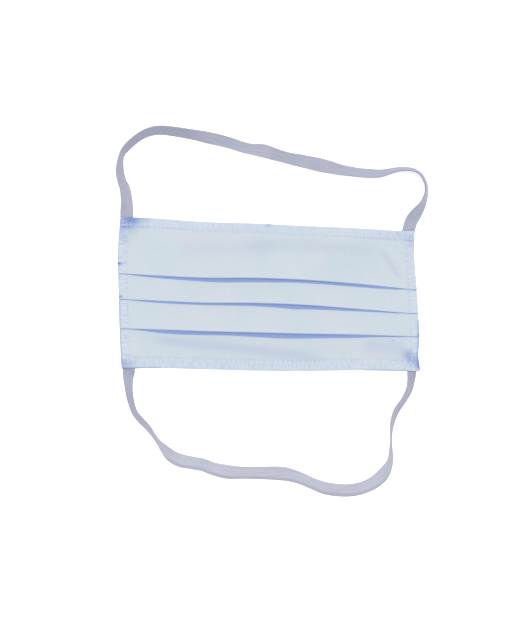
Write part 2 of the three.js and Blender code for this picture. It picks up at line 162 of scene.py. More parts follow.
LOWER_BAND = table(
    "x y width lip", "lean curl tone",
    (-86.4, -26, 7.7, 0, 0, 0, 0.45),
    (-86.2, -36.8, 7.4, 0, 0, 0, 0.45),
    (-86.4, -39.6, 7.3, 0, 28, 0, 0.45),
    (-86.3, -44, 7.5, 0, 47, 0, 0.46),
    (-85.4, -52, 7.5, 0, 58, 0, 0.63),
    (-82.6, -61.3, 7.5, 0, 63, 0, 0.6),
    (-78.9, -66, 7.5, 0, 60, 0, 0.54),
    (-74.5, -70.6, 7.5, 0, 64, 0, 0.5),
    (-69.4, -77.6, 7.5, 0, 71, 0, 0.38),
    (-65, -83, 7.5, 0, 50, 0, 0.16),
    (-60.2, -88, 7.8, 2.4, 12, 22, 0.02),
    (-55, -90.6, 8.4, 2.6, 0, 34, 0),
    (-48, -92, 8, 2.5, 0, 34, 0),
    (-41, -93.4, 8, 2.5, 0, 34, 0),
    (-35, -95.7, 8.2, 2.6, 0, 36, 0),
    (-26.5, -97.5, 8.8, 2.6, 0, 34, 0.05),
    (-18, -98, 7.7, 2.2, 0, 36, 0.05),
    (-8, -98.1, 7.8, 2.2, 0, 36, 0.09),
    (7, -98.6, 8.6, 2.2, 0, 36, 0.09),
    (16, -100.8, 7.6, 2.4, 0, 34, 0.06),
    (25, -104.6, 7.2, 2.4, 0, 34, 0.04),
    (34, -107.7, 7.9, 2.5, 0, 34, 0.09),
    (47, -108.6, 7.9, 2.5, 0, 34, 0.09),
    (57, -106.3, 7.8, 2.4, 0, 30, 0.02),
    (65.4, -101, 7.7, 1.6, -8, 22, 0.04),
    (70.7, -92.7, 7.5, 0, -60, 0, 0.16),
    (71.9, -86.5, 7.5, 0, -77, 0, 0.34),
    (71.9, -79, 7.5, 0, -88, 0, 0.42),
    (72.1, -73, 7.5, 0, -86, 0, 0.5),
    (72.5, -68.7, 7.5, 0, -80, 0, 0.55),
    (74.9, -61, 7.5, 0, -72, 0, 0.58),
    (79.8, -53.6, 7.5, 0, -71, 0, 0.54),
    (82.8, -48, 7.5, 0, -67, 0, 0.5),
    (83.9, -43.6, 7.2, 0, -61, 0, 0.48),
    (84.4, -40.2, 5.9, 0, -42, 0, 0.48),
    (84.7, -36.8, 5.4, 0, 0, 0, 0.48),
    (84.7, -26, 6, 0, 0, 0, 0.48),
)

BAND_ENDS = ((0, 1), (-1, -2))  # the row of each sewn end, and the one next to it

# Soft creases pressed across the panels: two ends, half the width, the depth, and how much painted shade
# each carries as a deeper blue.
CREASES = table(
    "x0 y0 x1 y1 half depth", "tint",
    (-62, 37.5, 8, 37, 5, 0.15, 0.07),
    (-24, 40.5, 74, 36.5, 3.8, 0.2, 0.08),
    (65, 37.5, 79, 17.5, 1.9, 0.3, 0.1),
    (-84, -16, 42, -30, 3.4, 0.28, 0.15),
    (52, -21, 84, -23.5, 4.6, 0.15, 0.12),
)
# Places where the cloth is painted a deeper blue, each with its middle, its reach and its share of the blue:
# the corners where the bands are sewn in, painted shade at the open ends of the pleats at the sides, a small
# mark in the middle of the nose edge, and a few broad, faint darker patches.
MARKS = table(
    "x y reach_x reach_y", "tint",
    (-86, 54, 7, 3, 0.66),
    (-84, 56.6, 8, 1.6, 0.3),
    (-88, 50.3, 4.2, 0.8, 0.3),
    (-86.5, 48.2, 6, 2.2, 0.26),
    (-89, 44, 3, 4, 0.2),
    (-78, 55, 8, 1.8, 0.14),
    (84, 42, 3.2, 3.8, 0.28),
    (76, 45.5, 11, 2.6, 0.12),
    (82.5, -26.5, 3.4, 3, 0.36),
    (85.2, -30, 3.8, 3.8, 0.42),
    (88.5, -33.5, 2.4, 2.8, 0.32),
    (-88, -32, 5, 3.6, 0.38),
    (-30, -33, 60, 3, 0.05),
    (-5, 49.5, 40, 2.4, 0.05),
    (47, 27, 18, 9, 0.05),
    (-1.9, 52, 1.4, 1.6, 0.4),
    (73.3, -18.1, 1, 0.4, 0.3),
    (-92, 28.4, 2, 0.75, 1),
    (-91.2, 8.6, 1.9, 0.7, 0.7),
    (87.4, 12.7, 1.2, 0.8, 0.45),
    (89, -15.2, 1.2, 0.9, 0.55),
)
# Thin lines of painted shade beside an edge, where the cloth turns down over it or a seam presses a groove
# into it: from where to where along the edge, how far inside it, half the width, which edge, and the share
# of the blue.
LINES = table(
    "low high inset half", "edge tint",
    (-35, 9, 0.2, 0.7, 0, 0.3),
    (9, 56, 0.2, 0.7, 0, 0.14),
    (-36, -5, 0.3, 0.8, 1, 0.42),
    (-91, -66, 0.2, 0.5, 2, 0.34),
    (54, 84, 0.2, 0.5, 2, 0.28),
    (-88, 84, 6.4, 0.5, 2, 0.06),
    (-92, -72, 5.4, 0.6, 3, 0.26),
    (-72, -50, 5.4, 0.5, 3, 0.14),
    (-50, 44, 5.4, 0.5, 3, 0.05),
    (44, 84, 5.4, 0.6, 3, 0.14),
)
EDGES = ("left", "right", "bottom", "top")  # numbered from 0 in the table above


def curve(rows, column, at):
    """A column of a table on a smooth curve over its first column, level where neighbours hold one value."""
    k, v = next(iter(rows.values())), rows[column]
    slope = np.empty(len(k))
    slope[0], slope[-1] = (v[1] - v[0]) / (k[1] - k[0]), (v[-1] - v[-2]) / (k[-1] - k[-2])
    slope[1:-1] = (v[2:] - v[:-2]) / (k[2:] - k[:-2])
    slope[1:-1][(v[1:-1] == v[:-2]) | (v[1:-1] == v[2:])] = 0
    i = np.clip(np.searchsorted(k, at, side="right") - 1, 0, len(k) - 2)
    span = k[i + 1] - k[i]
    t = np.clip((at - k[i]) / span, 0, 1)
    return (
        (2 * t**3 - 3 * t**2 + 1) * v[i]
        + (t**3 - 2 * t**2 + t) * span * slope[i]
        + (3 * t**2 - 2 * t**3) * v[i + 1]
        + (t**3 - t**2) * span * slope[i + 1]
    )


def between(a, b, share):
    return a + (b - a) * share


def smooth(value):
    """0 below 0, 1 above 1, and a soft step between."""
    t = np.clip(value, 0, 1)
    return t * t * (3 - 2 * t)


def bell(distance, reach):
    return np.exp(-((distance / reach) ** 2))


# ---------------------------------------------------------------- settings


def length(description, default, low=0.0):
    """A length, with its default in mm."""
    return bpy.props.FloatProperty(
        description=description, default=default * MM, min=low, precision=5, unit="LENGTH"
    )


def colour(description, default):
    """An sRGB colour, as a hex value."""
    return bpy.props.StringProperty(description=description, default=default)


def ratio(description, default):
    return bpy.props.FloatProperty(description=description, default=default, min=0.0, max=10.0)


def angle(description, degrees):
    return bpy.props.FloatProperty(
        description=description, default=math.radians(degrees), min=0.0, unit="ROTATION"
    )


class ClothSettings(bpy.types.PropertyGroup):
    """The pleated cloth and its turned hems."""

    wall: length("Thickness of the three layers of nonwoven together", 0.36)
    leg: length("Height of the middle of the layer that lies on the floor", 0.2)
    pitch: length("From one layer to the next where the pleats lie loose", 0.62)
    sewn_pitch: length("From one layer to the next where they are sewn down", 0.4)
    tuck: length("How far each knife pleat reaches up behind its edge", 8.0)
    rise: length("How much a panel climbs under a pleat", 0.8)
    dome: length("How much the middle of the mask stands up", 1.2)
    edge_round: length("How far in the turn at a finished edge begins", 0.5)
    top_hem: length("Width of the hem at the nose edge", 5.4)
    bottom_hem: length("Width of the hem at the chin edge", 6.4)
    side_hem: length("Width of the hems at the sides", 5.2)
    puff: length("How much the cloth puffs up between a seam and its edge", 0.22)
    pucker: length("Height of the puckers beside the seams", 0.16)
    pucker_pitch: length("From one pucker to the next", 2.7)
    face: colour("Pale blue of the outer layer", "#b9c4cb")
    blush: colour("Warmer tone where the white inner layers show through", "#bdc4cc")
    hem: colour("Cloth of the turned hems", "#b9c4d0")
    # Painted highlight: the crests of the puckers beside the seams are painted this lighter colour, and
    # their hollows get painted shade in the deep blue.
    drawn: colour("Crests of the puckers beside the seams", "#c8d2de")
    # The deep blue is mostly painted shade: in the creases, along the turned edges and the seam lines, at
    # the open ends of the pleats and in the pucker hollows; the band corners and a few faint patches get it
    # too.
    deep: colour("Cloth that is pressed together", "#4468b4")
    # The two pleat colours are painted shade below the edge of each pleat: the first at the soft lower edge
    # of that painted shadow, the second further under the edge, made brighter because the real shadow of the
    # pleat darkens it there.
    pleat: colour("Cloth at the mouth of a pleat", "#8499c3")
    pleat_shade_inside: colour("Cloth further inside a pleat, where light comes through", "#b4c9fd")


class BandSettings(bpy.types.PropertyGroup):
    """The flat elastic of the head bands."""

    wall: length("Thickness of the tape", 0.75)
    lip_bend: length("How much of the width the bend at the lip takes", 0.3)
    # Painted shade on the lip, which turns down away from the light.
    lip_tone: ratio("How much deeper the tone of the lip is", 0.25)
    step: length("From one section of the tape to the next", 1.0)
    rib: length("From one lengthwise rib to the next", 0.9)
    knit: length("From one crosswise course to the next, drawn coarse", 1.2)
    face: colour("Ribs of the tape", "#b8b9c5")
    groove: colour("Between the ribs", "#a3a4b5")
    # Painted shade: the tape takes on this deeper colour where its tone says, which is where it leans away
    # from the light, stands on edge or turns down as a lip.
    deep: colour("The tape where it is stretched least", "#807f99")


class SeamSettings(bpy.types.PropertyGroup):
    """The sewing thread."""

    stitch: length("Length of thread that shows in one stitch", 1.9)
    pitch: length("From one stitch to the next", 2.7)
    radius: length("Half the thickness of the thread", 0.15)
    tack_reach: length("How far each corner's zigzag runs", 7.0)
    tack_width: length("Width of each corner's zigzag", 2.6)
    pale: colour("Thread of the straight seams", "#bec9da")
    white: colour("Thread of the corner tacks", "#ccd4e4")


class StudioSettings(bpy.types.PropertyGroup):
    """The floor, the lights and the camera."""

    floor_size: length("Side of the square floor", 6000)
    floor_colour: colour("Matt white board", "#f9fafb")
    floor_glow: ratio("How much the board glows by itself, as a light table does", 0.4)
    sun: ratio("Strength of the soft key light from beyond the nose edge", 1.28)
    sun_height: angle("How high the key light stands", 74)
    sun_spread: angle("Angle that the key light fills", 20)
    sky: ratio("Strength of the even light all round", 0.9)
    camera_height: length("From the floor up to the camera", 1500)
    view_height: length("How much of the floor the picture's height takes in", 380.5)
    view_x: length("The camera stands over this x", -3.93, low=-1.0)
    view_y: length("The camera stands over this y", -2.72, low=-1.0)


SETTINGS = {
    "mask_cloth": ClothSettings,
    "mask_bands": BandSettings,
    "mask_seams": SeamSettings,
    "mask_studio": StudioSettings,
}


# ---------------------------------------------------------------- materials


SOFT_STEP = {"interpolation_type": "SMOOTHSTEP"}
PATCH_SIZE = 26 * MM  # soft patches where the white inner layers show through
FIBRE_SIZE = 1.5 * MM  # single fibres are too fine to show, so bundles of them are drawn this long
# The puckers of the seams are also painted into the colour as highlight and shade, with blotches this size.
WRINKLE_LENGTH, WRINKLE_PITCH = 5.0 * MM, 1.2 * MM  # fine puckers that the thread draws across a seam
BOND_PITCH = 1.0 * MM  # from one bond point to the next; each is about half as wide
STREAK_LENGTH, STREAK_WIDTH = 12 * MM, 1.1 * MM  # the uneven tone that runs along the elastic


def linear(hex_colour):
    """An sRGB colour such as "#b7c4cc" as the linear RGBA that shaders take."""
    channels = [int(hex_colour[i : i + 2], 16) / 255 for i in (1, 3, 5)]
    return [c / 12.92 if c <= 0.04045 else ((c + 0.055) / 1.055) ** 2.4 for c in channels] + [1.0]


def add_node(tree, kind, settings, links=None):
    """Adds a node, gives its sockets and properties their values, and links sockets to outputs.

    Where a link names a node, its first output is taken.
    """
    made = tree.nodes.new("ShaderNode" + kind)
    sockets = {socket.identifier: socket for socket in made.inputs}
    for name, value in settings.items():
        if name in sockets:
            sockets[name].default_value = value
        else:
            setattr(made, name, value)
    for name, source in (links or {}).items():
        tree.links.new(source.outputs[0] if isinstance(source, bpy.types.Node) else source, sockets[name])
    return made


def new_material(name):
    """A material with nothing in it, and the function that adds nodes to it."""
    made = bpy.data.materials.new(name)
    made.use_nodes = True
    made.node_tree.nodes.clear()
    return made, functools.partial(add_node, made.node_tree)


def blend_colours(add, factor, first, second, blend_type="MIX"):
    """A mix of two colours, each a hex value, an output or a node; the factor may be a number."""
    settings, links = {"data_type": "RGBA", "blend_type": blend_type}, {}
    for socket, value in (("Factor_Float", factor), ("A_Color", first), ("B_Color", second)):
        if isinstance(value, (str, float)):
            settings[socket] = linear(value) if isinstance(value, str) else value
        else:
            links[socket] = value
    made = add("Mix", settings, links)
    return next(output for output in made.outputs if output.identifier == "Result_Color")


def cloth_material(name, cloth):
    """Spunbond polypropylene nonwoven, three layers thick and calendered with fine bond points.

    That gives a matt, slightly fibrous surface. The pale outer layer lets the white inner ones show
    through in soft patches. A much deeper blue is painted where shade falls: below the edge of each
    pleat, in creases, along turned edges and seam lines, at the pleat ends and in the pucker hollows,
    whose crests get a painted highlight; the band corners are painted a deeper blue too.
    """
    material, add = new_material(name)
    flat = add("Attribute", {"attribute_name": "flat"}).outputs["Vector"]
    reading = {
        key: add("Attribute", {"attribute_name": key}).outputs["Fac"]
        for key in ("shade", "seam", "tint", "drawn_side", "drawn_long")
    }
    patches = add("TexNoise", {"Scale": 1 / PATCH_SIZE, "Detail": 2.0, "Roughness": 0.5}, {"Vector": flat})
    patch = add("MapRange", {**SOFT_STEP, "From Min": 0.4, "From Max": 0.6}, {"Value": patches})
    face = blend_colours(add, patch, cloth.face, cloth.blush)
    in_hem = add(
        "MapRange", {**SOFT_STEP, "From Min": -0.4 * MM, "From Max": 0.6 * MM, "To Max": 0.7},
        {"Value": reading["seam"]},
    )
    hemmed = blend_colours(add, in_hem, face, cloth.hem)
    across_side, across_long = (WRINKLE_LENGTH, WRINKLE_PITCH), (WRINKLE_PITCH, WRINKLE_LENGTH)
    pucker = None
    for key, size in (("drawn_side", across_side), ("drawn_long", across_long)):
        wrinkle = add(
            "MapRange", {"From Min": 0.35, "From Max": 0.65, "To Min": -1.0},
            {"Value": stretched_noise(add, flat, size)},
        )
        links = {"Value": wrinkle, "Value_001": reading[key]}
        if pucker:
            links["Value_002"] = pucker
        pucker = add("Math", {"operation": "MULTIPLY_ADD", "Value_002": 0.0}, links)
    # Painted highlight on the pucker crests beside the seams.
    crest = add("MapRange", {"From Max": 1.0, "To Max": 0.42}, {"Value": pucker})
    with_painted_pucker_highlight = blend_colours(add, crest, hemmed, cloth.drawn)
    # Painted shade: the pucker hollows turn bluer, added to the painted deep blue of creases, edges, seams,
    # pleat ends and band corners.
    blue_and_painted_shade_share = add(
        "Math", {"operation": "MULTIPLY_ADD", "use_clamp": True, "Value_001": -0.12},
        {"Value": pucker, "Value_002": reading["tint"]},
    )
    pressed = blend_colours(add, blue_and_painted_shade_share, with_painted_pucker_highlight, cloth.deep)
    # Painted shade of each pleat, on the panel below its edge, on its turned-down edge and on its hidden
    # layers.
    inside, depth = (
        add("MapRange", {**SOFT_STEP, "From Min": low, "From Max": high}, {"Value": reading["shade"]})
        for low, high in ((-SHADE_EDGE, SHADE_EDGE), (SHADE_MOUTH, SHADE_LIMIT))
    )
    pleat = blend_colours(add, depth, cloth.pleat, cloth.pleat_shade_inside)
    whole = blend_colours(add, inside, pressed, pleat)
    fibres = add("TexNoise", {"Scale": 1 / FIBRE_SIZE, "Detail": 4.0, "Roughness": 0.65}, {"Vector": flat})
    fibre_tone = add(
        "MapRange", {"From Min": 0.3, "From Max": 0.7, "To Min": 0.965, "To Max": 1.03}, {"Value": fibres}
    )
    toned = blend_colours(add, 1.0, whole, fibre_tone, "MULTIPLY")
    bonds = add(
        "TexVoronoi", {"feature": "F1", "Scale": 1 / BOND_PITCH, "Randomness": 0.6}, {"Vector": flat}
    )
    bond = add("MapRange", {**SOFT_STEP, "From Min": 0.15, "From Max": 0.35}, {"Value": bonds})
    height = add(
        "Math", {"operation": "MULTIPLY_ADD", "Value_001": 0.8}, {"Value": fibres, "Value_002": bond}
    )
    bump = add("Bump", {"Strength": 0.25, "Distance": 0.05 * MM}, {"Height": height})
    shader = add(
        "BsdfPrincipled",
        {"Roughness": 0.82, "IOR": 1.49, "Specular IOR Level": 0.25, "Sheen Weight": 0.08},
        {"Base Color": toned, "Normal": bump},
    )
    add("OutputMaterial", {}, {"Surface": shader})
    return material


def stretched_noise(add, place, size):
    """Noise whose blotches have this size in the plane of the cloth or the tape."""
    scaled = add("Mapping", {"Scale": (1 / size[0], 1 / size[1], 1.0)}, {"Vector": place})
    return add("TexNoise", {"Scale": 1.0, "Detail": 3.0, "Roughness": 0.55}, {"Vector": scaled})


def elastic_material(bands):
    """Knitted flat elastic of polyester over rubber: matt lengthwise ribs with darker grooves between
    them, and fine crosswise courses where the yarn goes round each rubber."""
    material, add = new_material("knitted_flat_elastic")
    flat = add("Attribute", {"attribute_name": "flat"}).outputs["Vector"]
    axes = add("SeparateXYZ", {}, {"Vector": flat}).outputs
    waves = {}
    for axis, pitch in (("Y", bands.rib), ("X", bands.knit)):
        phase = add("Math", {"operation": "MULTIPLY", "Value_001": math.tau / pitch}, {"Value": axes[axis]})
        wave = add("Math", {"operation": "SINE"}, {"Value": phase})
        waves[axis] = add("MapRange", {"From Min": -1.0, "From Max": 1.0}, {"Value": wave})
    height = add(
        "Math", {"operation": "MULTIPLY_ADD", "Value_001": 0.3},
        {"Value": waves["X"], "Value_002": waves["Y"]},
    )
    tone = add(
        "Math", {"operation": "MULTIPLY_ADD", "Value_001": 0.35},
        {"Value": waves["Y"], "Value_002": stretched_noise(add, flat, (STREAK_LENGTH, STREAK_WIDTH))},
    )
    tone_share = add("MapRange", {"From Min": 0.35, "From Max": 0.95}, {"Value": tone})
    ribs = blend_colours(add, tone_share, bands.groove, bands.face)
    # The tone attribute paints shade on the tape where it leans away from the light, stands on edge or turns
    # down as a lip.
    depth = add("Attribute", {"attribute_name": "tone"}).outputs["Fac"]
    toned = blend_colours(add, depth, ribs, bands.deep)
    bump = add("Bump", {"Strength": 0.5, "Distance": 0.1 * MM}, {"Height": height})
    shader = add(
        "BsdfPrincipled",
        {"Roughness": 0.78, "IOR": 1.5, "Specular IOR Level": 0.3, "Sheen Weight": 0.15},
        {"Base Color": toned, "Normal": bump},
    )
    add("OutputMaterial", {}, {"Surface": shader})
    return material


def thread_material(name, hex_colour, seams):
    """Spun polyester sewing thread: two plies twisted together, matt with a faint lustre."""
    material, add = new_material(name)
    place = add("TexCoord", {}).outputs["Object"]
    twist = add("TexNoise", {"Scale": 1 / (2 * seams.radius), "Detail": 2.0}, {"Vector": place})
    tone = add(
        "MapRange", {"From Min": 0.3, "From Max": 0.7, "To Min": 0.9, "To Max": 1.06}, {"Value": twist}
    )
    shaded = blend_colours(add, 1.0, hex_colour, tone, "MULTIPLY")
    shader = add("BsdfPrincipled", {"Roughness": 0.6, "IOR": 1.54}, {"Base Color": shaded})
    add("OutputMaterial", {}, {"Surface": shader})
    return material


# ---------------------------------------------------------------- meshes


SHEET_SMOOTH, THREAD_SMOOTH = math.radians(50), math.radians(60)  # edges sharper than these stay crisp


def grid_piece(name, points, wall, material, fields):
    """A sheet through rows and columns of points, with its fields kept at each point, given a wall."""
    rows, columns = points.shape[:2]
    index = np.arange(rows * columns).reshape(rows, columns)
    quads = np.stack([index[:-1, :-1], index[1:, :-1], index[1:, 1:], index[:-1, 1:]], -1).reshape(-1, 4)
    mesh = bpy.data.meshes.new(name)
    mesh.from_pydata(points.reshape(-1, 3).tolist(), [], quads.tolist())
    for key, values in fields.items():
        vector = values.ndim == 3
        layer = mesh.attributes.new(key, "FLOAT_VECTOR" if vector else "FLOAT", "POINT")
        layer.data.foreach_set("vector" if vector else "value", values.astype(np.float32).ravel())
    mesh.validate()
    made = link_mesh(name, mesh, material)
    solidify = made.modifiers.new("wall", "SOLIDIFY")
    solidify.thickness, solidify.offset = wall, 0.0
    bpy.ops.object.modifier_apply(modifier=solidify.name)
    bpy.ops.object.shade_smooth_by_angle(angle=SHEET_SMOOTH)
    return made


def link_mesh(name, mesh, material):
    """A mesh as the one selected and active object of the scene, with its material."""
    made = bpy.data.objects.new(name, mesh)
    made.data.materials.append(material)
    bpy.context.scene.collection.objects.link(made)
    bpy.ops.object.select_all(action="DESELECT")
    made.select_set(True)
    bpy.context.view_layer.objects.active = made
    return made


def settle(made, slot, *nodes):
    """The piece rides on the mask and stands for these CAD nodes; the slot argument is not used."""
    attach(made, BODY)
    if nodes:
        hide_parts(*nodes)
    return made


# ---------------------------------------------------------------- the shape of the cloth


ROUND_FROM = -45.0  # degrees under the middle of a finished edge where the panel gives way to its hem
ROUND_STEPS = 6
HEM_ZONE = 6.6 * MM  # the rows and columns are close together this far in from the edges
NOSE_ROWS, CHIN_ROWS, SIDE_COLUMNS, MIDDLE_COLUMNS = 12, 13, 12, 172
PANEL_ROWS = (34, 16, 16, 20)  # on the open part of each panel, from the nose edge down
MOUTH_STRIP = 3.2 * MM  # the rows are close together this far below a pleat's edge
HIDDEN_ROWS, MOUTH_ROWS = 7, 12
TURN_ROWS, INNER_TURN_ROWS = 6, 5
SEWN_FLAT, LOOSENING = 5 * MM, 14 * MM  # the pleats lie flat this far in from the sides, then loosen
HIDE_LEAD, HIDE_REACH = 0.9 * MM, 1.2 * MM  # from how far out, and over how far, a pleat hides a panel
HIDE_FROM, HIDE_SPAN = math.radians(150), math.radians(100)  # the same round the pleat's own turn
INNER_INSET = 0.9 * MM  # the hidden layers of the pleats end this much further in than the panels
INNER_ROUND = 0.5 * MM  # width over which the hidden layers spread the columns of the edge's turn
SHADE_EDGE = 0.16 * MM  # how soft the edge of a pleat's shade is, to each side
SHADE_MOUTH = 0.8 * MM  # up to here the shade has the tone of a pleat's mouth
SHADE_LIMIT = 2.0 * MM  # and from here on that of its inside
SHADE_LEAD = 1.2 * MM  # the deeper shade begins this far out from under the pleat
SHADE_FROM, SHADE_FULL = 120, 150  # degrees round a pleat's turn where its shade begins and is deep
LIFT_SLACK, LIFT_FADE = 0.08 * MM, 4.5 * MM  # air over a band end, and how far the cloth takes to come down
WAVE_HEIGHT = 0.3 * MM  # of soft waves on the dome, which are these lengths to the radian
WAVE_X, WAVE_Y, WAVE_SLANT = 17 * MM, 11 * MM, 23 * MM
CREASE_FADE = 0.22  # share of its length over which a crease fades at each end
LINE_FADE = 2 * MM
PUCKER_RISE = 1.0 * MM  # the puckers rise over this far from the finished edge
PUCKER_END, PUCKER_FADE = 0.75, 0.6  # where they begin to fade, and over how far, in hem widths
PUFF_RISE = 1.5 * MM  # the hem puffs up over this far from its seam
FACE_PUFF, FACE_PUFF_RISE = 0.12 * MM, 2.0 * MM  # and the face beside the seam does so by this much

# Slow waves that shift the puckers, so that no two are alike: the length of each, how it runs along x
# and y, how strong it is and where it starts.
DRIFT = table(
    "size", "on_x on_y strong start",
    (7.1, 1, 0, 0.9, 0),
    (5.3, 0, 1, 0.7, 1),
    (3.1, 1, 1, 0.5, 0),
)


def spread(stops, counts):
    """Evenly spaced values from each stop to the next one, without the first."""
    return np.concatenate([np.linspace(a, b, n + 1)[1:] for a, b, n in zip(stops, stops[1:], counts)])


def looseness(x):
    """How loose the pleats lie at x: 0 where they are sewn down at the sides, 1 away from there."""
    return smooth((np.minimum(x - LEFT_END, RIGHT_END - x) - SEWN_FLAT) / LOOSENING)


def side_edges(y):
    """Where the left and the right edge are at y."""
    return curve(SIDES, "left", y), curve(SIDES, "right", y)


def pleated_line(x, cloth):
    """The cloth's middle line down the mask at x, from the nose edge to the chin edge, as columns: y, z,
    how far it is hidden in a pleat, the share of its height that it keeps at the edge's turn, and its
    distance into the shade of a pleat."""
    at = {name: curve(SECTIONS, name, x) for name in SECTIONS if name != "x"}
    loose = looseness(x)
    pitch = between(cloth.sewn_pitch, cloth.pitch, loose)
    bend = pitch / 2
    base = cloth.leg + pitch
    angles = np.radians(np.linspace(ROUND_FROM, 90, ROUND_STEPS, endpoint=False))
    turned_in = cloth.edge_round * (1 - np.cos(angles))
    kept = (1 + np.sin(angles)) / 2
    parts = [(at["top"] - turned_in, base, 0.0, kept, -SHADE_LIMIT)]

    def panel(stops, counts, bends, above):
        """The panel down to the turn of its own pleat; above is the fold and shade that cover its start."""
        y = spread(stops, counts)
        bend_y, bend_z = np.array(sorted(bends)).T
        z = curve({"y": bend_y, "z": bend_z}, "z", y)
        shade, hidden = np.full(len(y), -SHADE_LIMIT), np.zeros(len(y))
        if above:
            fold, reach = above
            lead = min(reach, SHADE_LEAD)
            mouth = np.minimum(y - fold + reach, SHADE_MOUTH)
            deep = (y - fold + lead) * SHADE_LIMIT / lead
            shade = np.clip(np.maximum(mouth, deep), -SHADE_LIMIT, SHADE_LIMIT)
            hidden = smooth((y - (fold - HIDE_LEAD)) / HIDE_REACH)
        parts.append((y, z, hidden, 1.0, shade))

    start, end = at["top"] - cloth.edge_round, at["bottom"] + cloth.edge_round
    bends, above = [(start, base)], None
    stops, counts = [at["top"], start, at["top"] - HEM_ZONE], [1, NOSE_ROWS]
    for number, rows in zip(FOLDS, PANEL_ROWS):
        fold = at["fold" + number]
        edge = fold + cloth.wall / 2 + bend
        tuck = fold + cloth.tuck - cloth.wall / 2 - bend
        crest = base + 2 * pitch + cloth.rise * loose + at["gape" + number]
        bends += [(tuck + bend, base + 2 * pitch), (edge, crest)]
        panel(stops + [edge], counts + [rows], bends, above)
        turn = np.radians(spread([90, 270], [TURN_ROWS]))
        parts.append((
            edge + bend * np.cos(turn), crest - bend + bend * np.sin(turn),
            smooth((turn - HIDE_FROM) / HIDE_SPAN), 1.0,
            np.clip((np.degrees(turn) - SHADE_FROM) / (SHADE_FULL - SHADE_FROM), -1, 1) * SHADE_LIMIT,
        ))
        back = spread([0, 1], [TURN_ROWS])
        parts.append((
            between(edge, tuck, back), between(crest - pitch, base + pitch, back), 1.0, 1.0, SHADE_LIMIT,
        ))
        turn = np.radians(spread([90, -90], [INNER_TURN_ROWS]))
        parts.append((tuck + bend * np.cos(turn), base + bend + bend * np.sin(turn), 1.0, 1.0, SHADE_LIMIT))
        bends = [(tuck, base), (fold, base + cloth.rise * loose)]
        stops, counts = [tuck, fold, fold - MOUTH_STRIP], [HIDDEN_ROWS, MOUTH_ROWS]
        above = (fold, curve(SHADES, "shade" + number, x))
    bends.append((end, base))
    panel(stops + [at["bottom"] + HEM_ZONE, end], counts + [PANEL_ROWS[-1], CHIN_ROWS], bends, above)
    parts.append((at["bottom"] + turned_in[::-1], base, 0.0, kept[::-1], -SHADE_LIMIT))
    return [np.concatenate([np.broadcast_to(part[i], len(part[0])) for part in parts]) for i in range(5)]


def front_line(x, cloth):
    """The outermost layer down the mask at x, between the turns at its edges: y, rising, and z."""
    y, z, hidden, kept, _ = pleated_line(x, cloth)
    shown = (hidden < 0.5) & (kept == 1.0)
    order = np.argsort(y[shown])
    return y[shown][order], z[shown][order]


def insets(x, y):
    """How far a place is from the left, right, bottom and top edges."""
    left, right = side_edges(y)
    key = between(LEFT_END, RIGHT_END, np.clip((x - left) / (right - left), 0, 1))
    return x - left, right - x, y - curve(SECTIONS, "bottom", key), curve(SECTIONS, "top", key) - y


def from_line(x, y, x0, y0, x1, y1):
    """The distance of places from a straight line between two points, and the share along it."""
    dx, dy = x1 - x0, y1 - y0
    along = np.clip(((x - x0) * dx + (y - y0) * dy) / (dx * dx + dy * dy), 0, 1)
    return np.hypot(x - x0 - along * dx, y - y0 - along * dy), along


def band_lift(x, y, bands):
    """How much a sewn band end under the cloth lifts it."""
    lift = np.zeros(np.shape(x))
    for band in (UPPER_BAND, LOWER_BAND):
        for end, outer in BAND_ENDS:
            distance, _ = from_line(x, y, *(band[c][i] for i in (end, outer) for c in ("x", "y")))
            lift = np.maximum(lift, 1 - smooth((distance - band["width"][end] / 2) / LIFT_FADE))
    return (bands.wall + LIFT_SLACK) * lift


def body_relief(x, y, cloth):
    """How much all the layers of the cloth stand up together: a low dome with soft waves."""
    left, right, bottom, top = insets(x, y)
    window = 4 * left * right / (left + right) ** 2 * 4 * bottom * top / (bottom + top) ** 2
    waves = np.sin(x / WAVE_X + 0.8) * np.sin(y / WAVE_Y + 0.5) + 0.6 * np.sin((x - 2 * y) / WAVE_SLANT)
    return np.maximum(window, 0) * (cloth.dome + WAVE_HEIGHT * waves)


def creases(x, y):
    """The depth of the soft creases at each place, and the painted shade that they carry as a deeper blue.
    """
    depth, tint = np.zeros(np.shape(x)), np.zeros(np.shape(x))
    for x0, y0, x1, y1, half, deep, blue in zip(*CREASES.values()):
        distance, along = from_line(x, y, x0, y0, x1, y1)
        pressed = bell(distance, half) * smooth(np.minimum(along, 1 - along) / CREASE_FADE)
        depth += deep * pressed
        tint += blue * pressed
    return depth, tint


